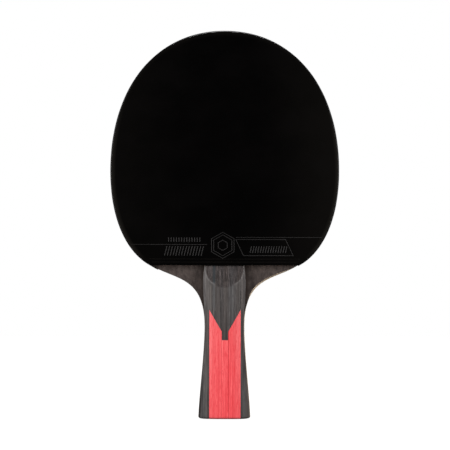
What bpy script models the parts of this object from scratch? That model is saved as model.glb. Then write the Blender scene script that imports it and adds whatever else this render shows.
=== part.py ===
"""Table tennis paddle, built as it is glued together: plies, handle strips, rubbers and edge tape.

The paddle stands upright in its own frame. X runs across the blade, Z runs from the butt of the handle
at z = 0 to the top of the head, and Y runs through the thickness. The black rubber faces -Y and the red
rubber faces +Y. The origin is the middle of the butt end, halfway through the blade's thickness.
"""

import math

import bmesh
import bpy

MM = 0.001

# Outline of the blade, seen from the front.
BLADE_TOP = 255.4 * MM
BLADE_HALF_WIDTH = 75.0 * MM
WIDEST_Z = 163.3 * MM
TOP_PULL = 44.6 * MM  # how far the top of the head runs flat, as the pull of its curve
UPPER_SIDE_PULL = 56.0 * MM
LOWER_SIDE_PULL = 28.4 * MM
CORNER_X = 48.5 * MM  # where the head turns into the shoulders, at the rubber's lower edge
CORNER_Z = 101.2 * MM
CORNER_SLOPE = math.radians(28)  # the head's slope where it reaches the corner
CORNER_PULL = 20.0 * MM
SHOULDER_SLOPE = math.radians(33)  # and the shoulder's slope where it leaves it
SHOULDER_PULL = 18.3 * MM
NECK_HALF_WIDTH = 13.15 * MM
NECK_Z = 61.0 * MM
NECK_PULL = 33.3 * MM
BUTT_HALF_WIDTH = 17.2 * MM
FLARE_PULL = 17.2 * MM
BUTT_SLOPE = 0.04  # how fast the flare still widens at the butt
BUTT_PULL = 15.8 * MM
BUTT_ROUND_IN = 3.0 * MM  # the butt's edge is rounded this far in
BUTT_ROUND_UP = 1.2 * MM  # and this far up

# Layers, from the middle of the blade outwards.
CORE_THICKNESS = 3.0 * MM
INNER_PLY_THICKNESS = 0.6 * MM
FIBRE_PLY_THICKNESS = 0.25 * MM
FACE_PLY_THICKNESS = 0.55 * MM
SPONGE_THICKNESS = 2.0 * MM
TOPSHEET_THICKNESS = 1.65 * MM
GLUE_LINE = 0.05 * MM
OUTER_PLIES = INNER_PLY_THICKNESS + FIBRE_PLY_THICKNESS + FACE_PLY_THICKNESS + 3 * GLUE_LINE
BLADE_FACE = CORE_THICKNESS / 2 + OUTER_PLIES

# Edge tape, a flat band round the head. An end may run on down the shoulder, cut to the blade's own width.
TAPE_WIDTH = 12.0 * MM
TAPE_THICKNESS = 0.5 * MM
TAPE_TAIL_STEPS = {"left": 1, "right": 0}  # points of the shoulder that each end runs on to

# Handle.
HANDLE_TOP = CORNER_Z - 0.3 * MM
HANDLE_TOP_HALF_WIDTH = 13.3 * MM
GRIP_HALF_WIDTH = 14.3 * MM  # the handle's swell, just under its top
GRIP_Z = 89.0 * MM
GRIP_PULL = 10.0 * MM
HANDLE_TOP_PULL = 5.0 * MM
HANDLE_TOP_TAPER = 0.12  # how much the swell has closed in again, for each unit of height at the top
NECK_HALF_THICKNESS = 11.2 * MM
THICKNESS_PER_WIDTH = 0.35  # how much thicker the handle gets where it gets wider
CROWN_POWER = 2.4  # 2 would be an elliptical handle, and more is squarer
JOINT_GAP = 0.1 * MM

# Thumb scoop, the arc that thins the handle towards the rubber.
SCOOP_RADIUS = 110.0 * MM
SCOOP_START_Z = 87.5 * MM
SCOOP_END_HEIGHT = 2.6 * MM  # what is left above the blade's face at the top of the handle

# Coloured inlay of the handle, seen from the front.
PANEL_SHIFT = 0.35 * MM  # the inlay sits a little to the right of the middle
PANEL_HALF_WIDTH = 10.35 * MM
PANEL_POINT_Z = 72.0 * MM
STEM_HALF_WIDTH = 2.1 * MM
STEM_TOP_Z = 57.8 * MM
STEM_FOOT_Z = 52.0 * MM
STEM_EASE = 0.8 * MM  # how far out the V starts to bend into the stem
STEM_EASE_RISE = 1.1 * MM

# Room that a cutter or an untrimmed strip has beyond the finished shape.
SPARE = 6.0 * MM

# How finely each curve is divided.
HEAD_TOP_STEPS = 22
HEAD_SIDE_STEPS = 14
SHOULDER_STEPS = 12
FLARE_STEPS = 7
BUTT_STEPS = 4
SWELL_STEPS = 6
TAPER_STEPS = 5
CROWN_STEPS = 14
SCOOP_FACETS = 112
SHARP_ANGLE = math.radians(30)

SIDES = (("front", -1), ("back", 1))
HANDS = (("left", -1), ("right", 1))

LIGHT_WOOD = {"colour": (0.60, 0.42, 0.25), "roughness": 0.6}
PALE_WOOD = {"colour": (0.68, 0.52, 0.33), "roughness": 0.6}
FIBRE = {"colour": (0.03, 0.03, 0.035), "roughness": 0.4}
FACE_WOOD = {"colour": (0.066, 0.051, 0.046), "roughness": 0.45}
DARK_WOOD = {"colour": (0.090, 0.078, 0.074), "roughness": 0.5}
RED_WOOD = {"colour": (0.85, 0.090, 0.105), "roughness": 0.5}
SPONGE = {"colour": (0.75, 0.35, 0.10), "roughness": 0.9}
BLACK_RUBBER = {"colour": (0.004, 0.004, 0.004), "roughness": 0.35}
RED_RUBBER = {"colour": (0.50, 0.012, 0.016), "roughness": 0.35}
TAPE = {"colour": (0.006, 0.006, 0.007), "roughness": 0.4}


def cubic(start, pull_start, pull_end, end, steps):
    """Points of a cubic curve after its start, up to and including its end."""
    points = []
    for step in range(1, steps + 1):
        t = step / steps
        weights = ((1 - t) ** 3, 3 * t * (1 - t) ** 2, 3 * t * t * (1 - t), t**3)
        corners = (start, pull_start, pull_end, end)
        points.append(tuple(sum(w * c[axis] for w, c in zip(weights, corners)) for axis in (0, 1)))
    return points


def along(point, slope, distance):
    """The point that lies a distance away at a slope from the horizontal."""
    return (point[0] + distance * math.cos(slope), point[1] + distance * math.sin(slope))


def head_edge():
    """Right half of the head, from its top down to the corner."""
    corner = (CORNER_X, CORNER_Z)
    widest = (BLADE_HALF_WIDTH, WIDEST_Z)
    upper = cubic(
        (0, BLADE_TOP),
        (TOP_PULL, BLADE_TOP),
        (BLADE_HALF_WIDTH, WIDEST_Z + UPPER_SIDE_PULL),
        widest,
        HEAD_TOP_STEPS,
    )
    lower = cubic(
        widest,
        (BLADE_HALF_WIDTH, WIDEST_Z - LOWER_SIDE_PULL),
        along(corner, CORNER_SLOPE, CORNER_PULL),
        corner,
        HEAD_SIDE_STEPS,
    )
    return [(0, BLADE_TOP)] + upper + lower


def shoulder_edge():
    """Right half of the hollow shoulder, from the corner to the neck."""
    corner = (CORNER_X, CORNER_Z)
    return cubic(
        corner,
        along(corner, SHOULDER_SLOPE, -SHOULDER_PULL),
        (NECK_HALF_WIDTH, NECK_Z + NECK_PULL),
        (NECK_HALF_WIDTH, NECK_Z),
        SHOULDER_STEPS,
    )


def flare_edge():
    """Right half of the flared grip, from the neck to where the butt's rounded edge starts."""
    foot = (BUTT_HALF_WIDTH, BUTT_ROUND_UP)
    return cubic(
        (NECK_HALF_WIDTH, NECK_Z),
        (NECK_HALF_WIDTH, NECK_Z - FLARE_PULL),
        (BUTT_HALF_WIDTH - BUTT_SLOPE * BUTT_PULL, BUTT_ROUND_UP + BUTT_PULL),
        foot,
        FLARE_STEPS,
    )


def butt_rounding():
    """(how far in, height) of the butt's rounded edge, from its top down to the flat butt."""
    pairs = []
    for step in range(BUTT_STEPS + 1):
        angle = math.pi / 2 * step / BUTT_STEPS
        pairs.append((BUTT_ROUND_IN * (1 - math.cos(angle)), BUTT_ROUND_UP * (1 - math.sin(angle))))
    return pairs


def blade_edge():
    """Right half of the whole blade, from the top of the head to the flat butt."""
    butt = [(BUTT_HALF_WIDTH - inset, z) for inset, z in butt_rounding()[1:]]
    return head_edge() + shoulder_edge() + flare_edge() + butt


def both_halves(right_half):
    """A closed outline from its right half, which may start on the middle line."""
    left_half = [(-x, z) for x, z in reversed(right_half) if x > 0]
    return right_half + left_half


def offset_outwards(edge, distance):
    """The right half of an outline moved outwards, square to itself."""
    moved = []
    for i, (x, z) in enumerate(edge):
        x0, z0 = edge[i - 1] if i else (-edge[1][0], edge[1][1])
        x1, z1 = edge[min(i + 1, len(edge) - 1)]
        length = math.hypot(x1 - x0, z1 - z0)
        moved.append((x - distance * (z1 - z0) / length, z + distance * (x1 - x0) / length))
    return moved


def handle_edge():
    """(half width, z) of the handle's strips, from the neck up to their top end."""
    grip = (GRIP_HALF_WIDTH, GRIP_Z)
    swell = cubic(
        (NECK_HALF_WIDTH, NECK_Z),
        (NECK_HALF_WIDTH, NECK_Z + GRIP_PULL),
        (GRIP_HALF_WIDTH, GRIP_Z - GRIP_PULL),
        grip,
        SWELL_STEPS,
    )
    end = (HANDLE_TOP_HALF_WIDTH, HANDLE_TOP)
    pull = (HANDLE_TOP_HALF_WIDTH + HANDLE_TOP_TAPER * HANDLE_TOP_PULL, HANDLE_TOP - HANDLE_TOP_PULL)
    return swell + cubic(grip, (GRIP_HALF_WIDTH, GRIP_Z + HANDLE_TOP_PULL), pull, end, TAPER_STEPS)


def half_thickness(half_width):
    """Half the handle's thickness where it has this half width."""
    return NECK_HALF_THICKNESS + THICKNESS_PER_WIDTH * (half_width - NECK_HALF_WIDTH)


def handle_section(half_width, thickness, z):
    """Closed section of the handle across its length: flat at the blade's edge and crowned outside it."""
    crown = []
    for step in range(CROWN_STEPS + 1):
        angle = math.pi * step / CROWN_STEPS
        across = math.copysign(abs(math.cos(angle)) ** (2 / CROWN_POWER), math.cos(angle))
        height = math.sin(angle) ** (2 / CROWN_POWER) if 0 < step < CROWN_STEPS else 0
        crown.append((half_width * across, BLADE_FACE + (thickness - BLADE_FACE) * height))
    return [(x, y, z) for x, y in crown] + [(x, -y, z) for x, y in reversed(crown)]


def handle_sections():
    """The handle's sections from the flat butt to past its top end."""
    foot_thickness = half_thickness(BUTT_HALF_WIDTH)
    sections = []
    for inset, z in reversed(butt_rounding()):
        sections.append(handle_section(BUTT_HALF_WIDTH - inset, foot_thickness - inset, z))
    flare = list(reversed([(NECK_HALF_WIDTH, NECK_Z)] + flare_edge()[:-1]))
    top = (HANDLE_TOP_HALF_WIDTH - HANDLE_TOP_TAPER * SPARE, HANDLE_TOP + SPARE)
    for half_width, z in flare + handle_edge() + [top]:
        sections.append(handle_section(half_width, half_thickness(half_width), z))
    return sections


def material(name, finish):
    """A material with one colour and one roughness."""
    made = bpy.data.materials.new(name)
    made.use_nodes = True
    shader = made.node_tree.nodes["Principled BSDF"]
    shader.inputs["Base Color"].default_value = (*finish["colour"], 1)
    shader.inputs["Roughness"].default_value = finish["roughness"]
    shader.inputs["Metallic"].default_value = 0
    return made


def add_object(name, bm, parent, location=(0, 0, 0)):
    """Turns a bmesh into a placed object with its faces pointing out."""
    bmesh.ops.recalc_face_normals(bm, faces=bm.faces)
    mesh = bpy.data.meshes.new(name)
    bm.to_mesh(mesh)
    bm.free()
    mesh.shade_smooth()
    mesh.set_sharp_from_angle(angle=SHARP_ANGLE)
    made = bpy.data.objects.new(name, mesh)
    made.location = location
    made.parent = parent
    bpy.context.scene.collection.objects.link(made)
    return made


def prism(outline, thickness, trim=0):
    """A flat piece: an outline in X and Z, trimmed back all round, and extruded evenly about y = 0."""
    bm = bmesh.new()
    face = bm.faces.new([bm.verts.new((x, -thickness / 2, z)) for x, z in outline])
    if trim:
        rim = bmesh.ops.inset_region(bm, faces=[face], thickness=trim, use_even_offset=True)
        bmesh.ops.delete(bm, geom=rim["faces"], context="FACES")
    grown = bmesh.ops.extrude_face_region(bm, geom=[face])
    moved = [item for item in grown["geom"] if isinstance(item, bmesh.types.BMVert)]
    bmesh.ops.translate(bm, verts=moved, vec=(0, thickness, 0))
    return bm


def loft(sections):
    """A closed body through sections that have the same number of points, with flat ends."""
    bm = bmesh.new()
    rings = [[bm.verts.new(point) for point in section] for section in sections]
    for lower, upper in zip(rings, rings[1:]):
        for i in range(len(lower)):
            j = (i + 1) % len(lower)
            bm.faces.new((lower[i], lower[j], upper[j], upper[i]))
    bm.faces.new(rings[0])
    bm.faces.new(rings[-1])
    return bm


def add_cutter(name, bm, parent, location=(0, 0, 0)):
    """A helper shape that is left out of the finished object."""
    cutter = add_object(name, bm, parent, location)
    cutter.hide_render = True
    cutter.display_type = "WIRE"
    return cutter


def combine(target, operation, other):
    """Adds a live Boolean to an object."""
    modifier = target.modifiers.new(f"{operation.lower()}_{other.name}", "BOOLEAN")
    modifier.operation = operation
    modifier.solver = "EXACT"
    modifier.object = other


def add_blade(parent):
    """The seven plies, from the core outwards. The core reaches from the head to the butt."""
    outline = both_halves(blade_edge())
    core = add_object("core_ply", prism(outline, CORE_THICKNESS), parent)
    core.data.materials.append(material("core_wood", LIGHT_WOOD))
    face = CORE_THICKNESS / 2
    layers = (
        ("inner_ply", INNER_PLY_THICKNESS, PALE_WOOD),
        ("fibre_ply", FIBRE_PLY_THICKNESS, FIBRE),
        ("face_ply", FACE_PLY_THICKNESS, FACE_WOOD),
    )
    for layer, thickness, finish in layers:
        middle = face + GLUE_LINE + thickness / 2
        for side, sign in SIDES:
            ply = add_object(f"{layer}_{side}", prism(outline, thickness), parent, (0, sign * middle, 0))
            ply.data.materials.append(material(f"{layer}_{side}", finish))
        face += GLUE_LINE + thickness


def add_rubbers(parent):
    """A sponge and a top sheet on each face of the head."""
    outline = both_halves(head_edge())
    sheets = {"front": BLACK_RUBBER, "back": RED_RUBBER}
    sponge_middle = BLADE_FACE + GLUE_LINE + SPONGE_THICKNESS / 2
    sheet_middle = sponge_middle + SPONGE_THICKNESS / 2 + GLUE_LINE + TOPSHEET_THICKNESS / 2
    for side, sign in SIDES:
        sponge = prism(outline, SPONGE_THICKNESS)
        made = add_object(f"sponge_{side}", sponge, parent, (0, sign * sponge_middle, 0))
        made.data.materials.append(material(f"sponge_{side}", SPONGE))
        sheet = prism(outline, TOPSHEET_THICKNESS)
        made = add_object(f"topsheet_{side}", sheet, parent, (0, sign * sheet_middle, 0))
        made.data.materials.append(material(f"topsheet_{side}", sheets[side]))


def tape_sections(hand, sign):
    """Sections of one half of the tape, from the top of the head to its end at the corner or past it."""
    head = head_edge()
    edge = head + shoulder_edge()[: TAPE_TAIL_STEPS[hand]]
    inner = offset_outwards(edge, GLUE_LINE)
    outer = offset_outwards(edge, TAPE_THICKNESS)
    sections = []
    for i, ((x0, z0), (x1, z1)) in enumerate(zip(inner, outer)):
        half = TAPE_WIDTH / 2 if i < len(head) else BLADE_FACE
        corners = [(x0, -half, z0), (x1, -half, z1), (x1, half, z1), (x0, half, z0)]
        sections.append([(sign * x, y, z) for x, y, z in corners])
    return sections


def add_edge_tape(parent):
    """The band round the head's edge, open between the shoulders."""
    left, right = (tape_sections(hand, sign) for hand, sign in HANDS)
    tape = add_object("edge_tape", loft(left[:0:-1] + right), parent)
    tape.data.materials.append(material("edge_tape", TAPE))


def scoop_centre():
    """(z, y) of the scoop's axis, from its start on the crown and its end at the handle's top."""
    start = (SCOOP_START_Z, half_thickness(GRIP_HALF_WIDTH))
    end = (HANDLE_TOP, BLADE_FACE + SCOOP_END_HEIGHT)
    chord = math.dist(start, end)
    middle = ((start[0] + end[0]) / 2, (start[1] + end[1]) / 2)
    square = ((start[1] - end[1]) / chord, (end[0] - start[0]) / chord)
    reach = math.sqrt(SCOOP_RADIUS**2 - chord**2 / 4)
    return (middle[0] + reach * square[0], middle[1] + reach * square[1])


def add_handle_form(parent):
    """The handle's finished shape as a cutter, with both thumb scoops taken out of it."""
    form = add_cutter("handle_form", loft(handle_sections()), parent)
    z, y = scoop_centre()
    for side, sign in SIDES:
        bm = bmesh.new()
        bmesh.ops.create_cone(
            bm,
            cap_ends=True,
            segments=SCOOP_FACETS,
            radius1=SCOOP_RADIUS,
            radius2=SCOOP_RADIUS,
            depth=2 * (GRIP_HALF_WIDTH + SPARE),
        )
        scoop = add_cutter(f"scoop_{side}", bm, parent, (0, sign * y, z))
        scoop.rotation_euler = (0, math.pi / 2, 0)
        combine(form, "DIFFERENCE", scoop)
    return form


def inlay_outlines():
    """Outlines of one face's strips in X and Z, with room to be trimmed at the butt and the sides."""
    far = GRIP_HALF_WIDTH + SPARE
    low = -SPARE
    ease = (STEM_HALF_WIDTH + STEM_EASE, STEM_TOP_Z + STEM_EASE_RISE)
    v_right = [(PANEL_HALF_WIDTH, PANEL_POINT_Z), ease, (STEM_HALF_WIDTH, STEM_TOP_Z)]
    stem_right = v_right + [(STEM_HALF_WIDTH, STEM_FOOT_Z)]
    outlines = {
        "top_block": both_halves([(PANEL_HALF_WIDTH, HANDLE_TOP)] + stem_right),
        "red_centre_strip": both_halves([(STEM_HALF_WIDTH, STEM_FOOT_Z), (STEM_HALF_WIDTH, low)]),
    }
    outer = [(PANEL_HALF_WIDTH, HANDLE_TOP), (far, HANDLE_TOP), (far, low), (PANEL_HALF_WIDTH, low)]
    red = v_right + [(STEM_HALF_WIDTH, low), (PANEL_HALF_WIDTH, low)]
    for hand, sign in HANDS:
        outlines[f"outer_strip_{hand}"] = [(sign * x, z) for x, z in outer]
        outlines[f"red_strip_{hand}"] = [(sign * x, z) for x, z in red]
    return outlines


def add_handle(parent):
    """Six glued strips on each face of the blade, trimmed to the handle's shape."""
    form = add_handle_form(parent)
    depth = half_thickness(BUTT_HALF_WIDTH) + SPARE
    middle = BLADE_FACE + GLUE_LINE + depth / 2
    for side, sign in SIDES:
        for strip, outline in inlay_outlines().items():
            bm = prism(outline, depth, trim=JOINT_GAP / 2)
            made = add_object(f"{side}_{strip}", bm, parent, (PANEL_SHIFT, sign * middle, 0))
            finish = RED_WOOD if strip.startswith("red") else DARK_WOOD
            made.data.materials.append(material(f"{side}_{strip}", finish))
            combine(made, "INTERSECT", form)


def build_paddle():
    """Clears the scene and builds every piece under one empty."""
    for old in list(bpy.data.objects):
        bpy.data.objects.remove(old, do_unlink=True)
    paddle = bpy.data.objects.new("paddle", None)
    bpy.context.scene.collection.objects.link(paddle)
    add_blade(paddle)
    add_rubbers(paddle)
    add_edge_tape(paddle)
    add_handle(paddle)


build_paddle()
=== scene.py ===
"""Looks of the table tennis paddle: finer pieces, materials, studio light and camera.

Each piece here stands for one CAD node and takes its size and place from it. X runs across the blade,
Z runs up from the butt and Y runs through the thickness. The black rubber faces -Y and the red one +Y.
"""

import math

import bmesh
import bpy
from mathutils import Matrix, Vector


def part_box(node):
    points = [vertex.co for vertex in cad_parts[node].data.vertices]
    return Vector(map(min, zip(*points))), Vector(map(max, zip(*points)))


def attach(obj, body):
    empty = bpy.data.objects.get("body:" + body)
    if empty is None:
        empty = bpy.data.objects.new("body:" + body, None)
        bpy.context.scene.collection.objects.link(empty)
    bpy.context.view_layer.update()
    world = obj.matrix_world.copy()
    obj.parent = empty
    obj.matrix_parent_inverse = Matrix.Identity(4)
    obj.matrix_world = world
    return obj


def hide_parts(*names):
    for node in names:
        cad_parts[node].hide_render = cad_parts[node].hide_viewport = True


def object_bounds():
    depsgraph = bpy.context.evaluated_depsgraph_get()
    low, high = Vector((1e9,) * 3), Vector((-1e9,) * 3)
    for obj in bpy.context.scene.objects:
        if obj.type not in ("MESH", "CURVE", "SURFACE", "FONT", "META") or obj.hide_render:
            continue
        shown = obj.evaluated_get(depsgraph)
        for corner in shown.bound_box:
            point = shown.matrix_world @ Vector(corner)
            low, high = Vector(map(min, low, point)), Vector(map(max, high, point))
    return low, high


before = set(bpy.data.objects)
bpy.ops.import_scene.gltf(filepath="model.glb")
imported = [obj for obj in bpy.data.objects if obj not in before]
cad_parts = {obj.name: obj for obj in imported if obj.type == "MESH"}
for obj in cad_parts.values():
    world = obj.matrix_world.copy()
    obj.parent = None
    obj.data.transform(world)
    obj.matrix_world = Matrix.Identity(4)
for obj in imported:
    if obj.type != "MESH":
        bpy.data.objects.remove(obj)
cad_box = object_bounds()

MM = 0.001
CLOSE = MM / 100  # nearer than this counts as the same place
SIDES = (("front", -1), ("back", 1))
HANDS = (("left", -1), ("right", 1))
LAYERS = ("inner_ply", "fibre_ply", "face_ply")

# Fineness of the meshes.
OUTLINE_STEP = 1.0 * MM
ROW_STEP = 1.2 * MM
SCOOP_ROW_STEP = 0.45 * MM
ROUNDING_STEPS = 8
RIM_STEPS = 4
TAPE_COLUMNS = 8
PIMPLE_SIDES = 14
STRIP_COLUMNS = {"top_block": 46, "red_centre_strip": 12, "red_strip": 18, "outer_strip": 20}
EDGE_CROWDING = 1.5  # draws an outer strip's columns together where it turns down
WELD_GAP = MM / 2000
SHARP_ANGLE = math.radians(32)
OUTLINE_MITRE = 0.5  # least cosine at a corner, so that a sharp one doesn't reach far out
LINE_MITRE = 0.4

# Laws of the handle's shape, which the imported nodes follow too.
CROWN_POWER = 2.4
THICKNESS_PER_WIDTH = 0.35
SCOOP_RADIUS = 110.0 * MM
SCOOP_START_Z = 87.5 * MM
SCOOP_BLEND = 0.35 * MM  # how softly the scoop's rim is sanded
SCOOP_MARGIN = 4 * MM  # the fine rows start this far below the scoop
STEM_EASE = 0.8 * MM
STEM_EASE_RISE = 1.1 * MM
POINT_CUT = 0.2 * MM  # how far the red side strips stop short of a sharp end
JOINT_GAP = 0.05 * MM
JOINT_CHAMFER = 0.07 * MM
JOINT_STAIN = 0.9 * MM  # width of the dark line beside the red inlay

# Sanding of the blade's bare edge, the most at each height. The right edge took more than the left.
SHOULDER_SANDING = {"left": 0.05 * MM, "right": 1.0 * MM}
SHOULDER_START = (76 * MM, 86 * MM)
TAPE_MARGIN = 6 * MM  # the shoulders' sanding fades over this height below the tape
HANDLE_SANDING = {"left": 0.05 * MM, "right": 0.28 * MM}
HANDLE_END = (70 * MM, 77 * MM)

# The scoop's darkening, and a painted highlight on its rim where that is sharp enough to catch the light.
DARKENING_CUT = (-0.1 * MM, 0.4 * MM)  # how deep the scoop cuts where the darkening starts and where it is full
DARKENING_RUN_OUT = 0.9 * MM
DARKENING_MIDDLE = (3 * MM, 8 * MM)  # the run-out is full inside the first and gone outside the second
RIM_ARMS = (5.5 * MM, 8.5 * MM)
# the painted highlight is stronger on the left arm than on the right
RIM_HIGHLIGHT_SHARES = {"left": 1.0, "right": 0.55}
RIM_SOFTNESS = 0.45 * MM
RIM_MARGIN = 3 * MM  # no painted highlight on the rim lower than this below the scoop's start

# Rubber sheets.
SPONGE_SOFTNESS = 0.15 * MM
RIM_RADIUS = 0.30 * MM
PLATE_THICKNESS = 0.85 * MM  # the rest of the top sheet is pimples, which face the sponge
PIMPLE_RADIUS = 0.85 * MM
PIMPLE_INSET = 1.3 * PIMPLE_RADIUS
PIMPLE_PITCH = 2.1 * MM
PIMPLE_ROWS = 3
ROW_PITCH = PIMPLE_PITCH * math.sqrt(3) / 2
BED_RISE = (PIMPLE_ROWS + 0.4) * ROW_PITCH  # solid rubber starts this far over the lower edge
# Painted sheen: each top sheet is lighter at its rim and towards its sides, where the lamps would show in
# it.
SHEEN_RINGS = ((1.3 * MM, 0.62), (3.4 * MM, 0.0))  # how far in from the rim, and how much painted sheen it has there
SHEEN_FOOT = 12 * MM  # the painted sheen grows over this height from the lower edge
SHEEN_TOP = (178 * MM, 212 * MM)  # where the painted sheen fades towards the top
SHEEN_TOP_LOSS = 0.75
SHEEN_REACH = (15 * MM, 78 * MM)  # how far from the middle the painted sheen at the sides starts and is full
SHEEN_SHARES = {"left": 0.11, "right": 0.25}

# Edge tape.
TAPE_ROUNDING = 0.18 * MM
TAPE_EDGE = 0.03  # share of its half width that is rounded
TAPE_GLUE = 0.01 * MM
TAPE_RIB = 0.5 * MM
TAPE_SAG = 0.012 * MM
TAPE_RIPPLES = ((7.3 * MM, 2.0), (2.9 * MM, -3.5))  # length for a radian, and slant across the tape
TAPE_WANDER = 0.08 * MM
TAPE_WANDER_LENGTH = 23 * MM

# Raised marks along the lower edge of each rubber, with heights over that edge or over the band's foot.
BAND_RISE = 0.6 * MM
MARK_HEIGHT = 0.12 * MM
MARK_SINK = 0.05 * MM
MARK_PROFILE = ((-1, -MARK_SINK), (-0.6, MARK_HEIGHT), (0.6, MARK_HEIGHT), (1, -MARK_SINK))
RULE_WIDTH = 0.34 * MM
LINE_WIDTH = 0.40 * MM
BAR_WIDTH = 0.5 * MM
FAINT_RULES = ((4.1 * MM, 50 * MM), (2.1 * MM, 48 * MM))  # height and reach
RULES = ((-1, 11.5 * MM, 13.1 * MM), (1, 7.5 * MM, 17.8 * MM))  # side, inner end and height
RULE_MARGIN = 1.5 * MM
FRAME_SIDES = (12.4 * MM, 45.2 * MM)
FRAME_HEIGHTS = (5.8 * MM, 16.4 * MM)
FRAME_LEAN = -5.0 * MM
BADGE_SIDES = 6
BADGE_PLACE = (-1.2 * MM, 12.6 * MM)
BADGE_RADII = (8.6 * MM, 6.9 * MM, 3.4 * MM)
BAR_ROWS = (  # left, right, height, length, count and lean
    (-40.5 * MM, -14.5 * MM, 5.8 * MM, 6.2 * MM, 14, 0.25),
    (-37.8 * MM, -15.5 * MM, 14.9 * MM, 2.8 * MM, 13, 0.0),
    (16.0 * MM, 41.0 * MM, 7.6 * MM, 4.4 * MM, 15, 0.2),
)

# Where the woods change colour: distances from the middle, or heights.
FLANK_REACH = (7 * MM, 11 * MM)
BUTT_REACH = (84 * MM, 48 * MM)
JOINT_STAIN_FADE = 4 * MM
EDGE_SHADE_HEIGHT = (3.2 * MM, 5.6 * MM)
CONTACT_SHADOW_REACH = (13.8 * MM, 16.6 * MM)
BARE_FACING = (0.55, 0.97)  # how squarely the edge faces the front where it is bare and where it isn't
STREAK_SOFTNESS = (0.5 * MM, 2.5 * MM)
SEAM_SIZE = (0.2 * MM, 0.35 * MM)
PINK_PLACES = (  # axis, start, end and share of pink
    ("Z", 20 * MM, 75 * MM, 0.22),
    ("X", 4 * MM, -9 * MM, 0.16),
    ("X", 4 * MM, 10 * MM, 0.2),
)
GRAIN_SHIFT = 4.7  # from one handle strip's grain to the next
SHIFT_WAYS = (1.0, 1.7, 2.3)
FIBRE_WEAVE = 3100  # radians for each metre

# Colours, from dark to pale. A shade multiplies the colour that it lies on.
DARK_WOOD = ((0.037, 0.032, 0.031), (0.076, 0.068, 0.067), (0.142, 0.130, 0.127))
DARK_DASH = (0.030, 0.026, 0.025)
BLUISH_WOOD = (0.072, 0.076, 0.080)
BLUISH_STREAK = (0.024, 0.028, 0.031)
TAN_STREAK = (0.135, 0.118, 0.108)
BROWNISH_WOOD = (0.105, 0.085, 0.074)
SCOOP_DARKENING = (0.59, 0.55, 0.55)
BUTT_SHADE = (0.76, 0.74, 0.73)
FLANK_SHADE = (0.87, 0.87, 0.87)
JOINT_SHADE = (0.68, 0.74, 0.75)
# painted highlight on the scoop's rim, over its rubbed wood
RUBBED_RIM_HIGHLIGHT = (0.20, 0.188, 0.182)
# painted shade low on the handle's sides, where they meet the blade
SHADED_EDGE = (0.030, 0.024, 0.022)
STREAKS = (  # veneers of the front block: middle, half width, lowest, highest, strength, colour
    (-6.9 * MM, 0.6 * MM, 90.5 * MM, 104 * MM, 0.9, BLUISH_STREAK),
    (-6.9 * MM, 0.55 * MM, 74 * MM, 89 * MM, 0.35, BLUISH_WOOD),
    (-9.4 * MM, 0.4 * MM, 73 * MM, 87 * MM, 0.6, TAN_STREAK),
)
RED_WOOD = ((0.73, 0.046, 0.056), (0.86, 0.082, 0.094), (0.96, 0.165, 0.172))
PINK_WOOD = (0.95, 0.20, 0.20)
SEAM_WOOD = (0.62, 0.030, 0.038)
RED_DASH = (0.78, 0.044, 0.056)
CORE_WOOD = ((0.46, 0.30, 0.17), (0.66, 0.48, 0.30))
INNER_WOOD = ((0.55, 0.40, 0.25), (0.76, 0.61, 0.42))
FACE_WOOD = ((0.043, 0.033, 0.030), (0.076, 0.058, 0.052), (0.102, 0.080, 0.071))
FACE_FLECK = (0.15, 0.120, 0.108)
# painted contact shadow on the face veneer beside the handle
CONTACT_SHADOW = (0.026, 0.017, 0.013)
BARE_EDGE = (0.62, 0.49, 0.37)
BLACK_RUBBER = ((0.0003, 0.0002, 0.0002), (0.0005, 0.0003, 0.0003), (0.004, 0.004, 0.004))
BLACK_SHEEN = (0.0105, 0.0093, 0.0078)
# The raised marks and rules are lighter than the rubber: painted highlights where their sloping sides would
# catch the light.
BLACK_MARK_HIGHLIGHT = ((0.018, 0.017, 0.017), (0.029, 0.027, 0.027), (0.045, 0.045, 0.045))
BLACK_RULE_HIGHLIGHT = ((0.004, 0.0035, 0.003), (0.006, 0.005, 0.0045), (0.01, 0.01, 0.01))
RED_RUBBER = ((0.46, 0.010, 0.013), (0.50, 0.013, 0.016), (0.60, 0.05, 0.05))
RED_SHEEN = (0.56, 0.030, 0.034)
# painted highlights: the red raised rules and marks are a lighter red
RED_RULE_HIGHLIGHT = ((0.47, 0.012, 0.015), (0.53, 0.016, 0.019), (0.62, 0.05, 0.05))
RED_MARK_HIGHLIGHT = ((0.50, 0.016, 0.020), (0.62, 0.024, 0.028), (0.66, 0.06, 0.06))
RUBBERS = {  # colours, specular and the colour of the painted sheen
    "black_rubber": (BLACK_RUBBER, 0.18, BLACK_SHEEN),
    "black_rubber_marks": (BLACK_MARK_HIGHLIGHT, 0.5),
    "black_rubber_rules": (BLACK_RULE_HIGHLIGHT, 0.3),
    "red_rubber": (RED_RUBBER, 0.4, RED_SHEEN),
    "red_rubber_rules": (RED_RULE_HIGHLIGHT, 0.4),
    "red_rubber_marks": (RED_MARK_HIGHLIGHT, 0.5),
}
SPONGE = ((0.50, 0.20, 0.05), (0.78, 0.38, 0.11), (0.84, 0.45, 0.16))
FIBRE = ((0.012, 0.012, 0.014), (0.045, 0.046, 0.05), (0.09, 0.09, 0.095))
TAPE = ((0.0045, 0.004, 0.0045), (0.011, 0.010, 0.011), (0.02, 0.019, 0.02))

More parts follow.
